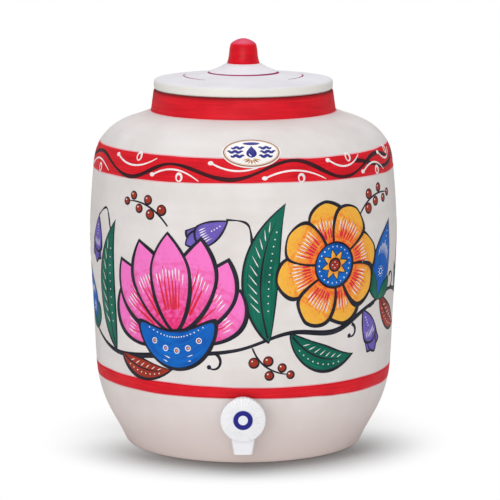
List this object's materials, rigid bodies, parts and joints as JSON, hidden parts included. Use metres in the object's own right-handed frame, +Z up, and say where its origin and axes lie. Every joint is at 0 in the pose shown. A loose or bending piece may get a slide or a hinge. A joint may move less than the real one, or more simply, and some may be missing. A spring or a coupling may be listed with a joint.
{
  "type": "clay water pot with tap",
  "caption": "Round-shouldered clay water pot with a loose knobbed lid and a quarter-turn plastic tap at its foot.",
  "frame": {"origin": "centre of the flat underside of the pot's foot, on the pot's axis", "axes": "+Z up along the pot's axis, -Y out through the tap, +X to the right seen from the tap's side"},
  "size_m": [0.271, 0.2953, 0.3563],
  "materials": {
    "pot_clay": "matte off-white slip over fired clay, with red bands and painted flowers",
    "lid_clay": "matte white slip over fired clay",
    "knob_red": "brushed red paint over fired clay",
    "tap_plastic": "white moulded plastic",
    "dial_plastic": "white moulded plastic",
    "nut_plastic": "off-white moulded plastic",
    "plug_plastic": "pale moulded plastic",
    "washer_plastic": "natural sheet plastic",
    "gasket_rubber": "soft black rubber",
    "seal_rubber": "soft dark seal rubber",
    "screw_steel": "plated steel",
    "label_film": "printed label, brown and gold rim, blue drop",
    "ring_film": "printed blue ring"
  },
  "bodies": {
    "pot": {"pot_body": "pot_clay", "pot_label": "label_film", "tap_body": "tap_plastic", "outer_gasket": "gasket_rubber", "inner_gasket": "gasket_rubber", "back_washer": "washer_plastic", "back_nut": "nut_plastic", "thrust_washer": "washer_plastic", "bonnet_ring": "tap_plastic"},
    "knob": {"tap_knob": "dial_plastic", "knob_cap": "dial_plastic", "cap_label": "ring_film", "knob_screw": "screw_steel", "valve_plug": "plug_plastic", "rear_o_ring": "seal_rubber", "front_o_ring": "seal_rubber", "outlet_seal": "seal_rubber"},
    "lid": {"lid": "lid_clay", "lid_knob": "knob_red"}
  },
  "joints": [
    {"name": "tap_turn", "type": "hinge", "parent": "pot", "child": "knob", "pos_m": [0, -0.14155, 0.0499], "axis": [0, -1, 0], "range_deg": [0, 90]},
    {"name": "lid_lift", "type": "slide", "parent": "pot", "child": "lid", "axis": [0, 0, 1], "range_m": [0, 0.15]}
  ]
}
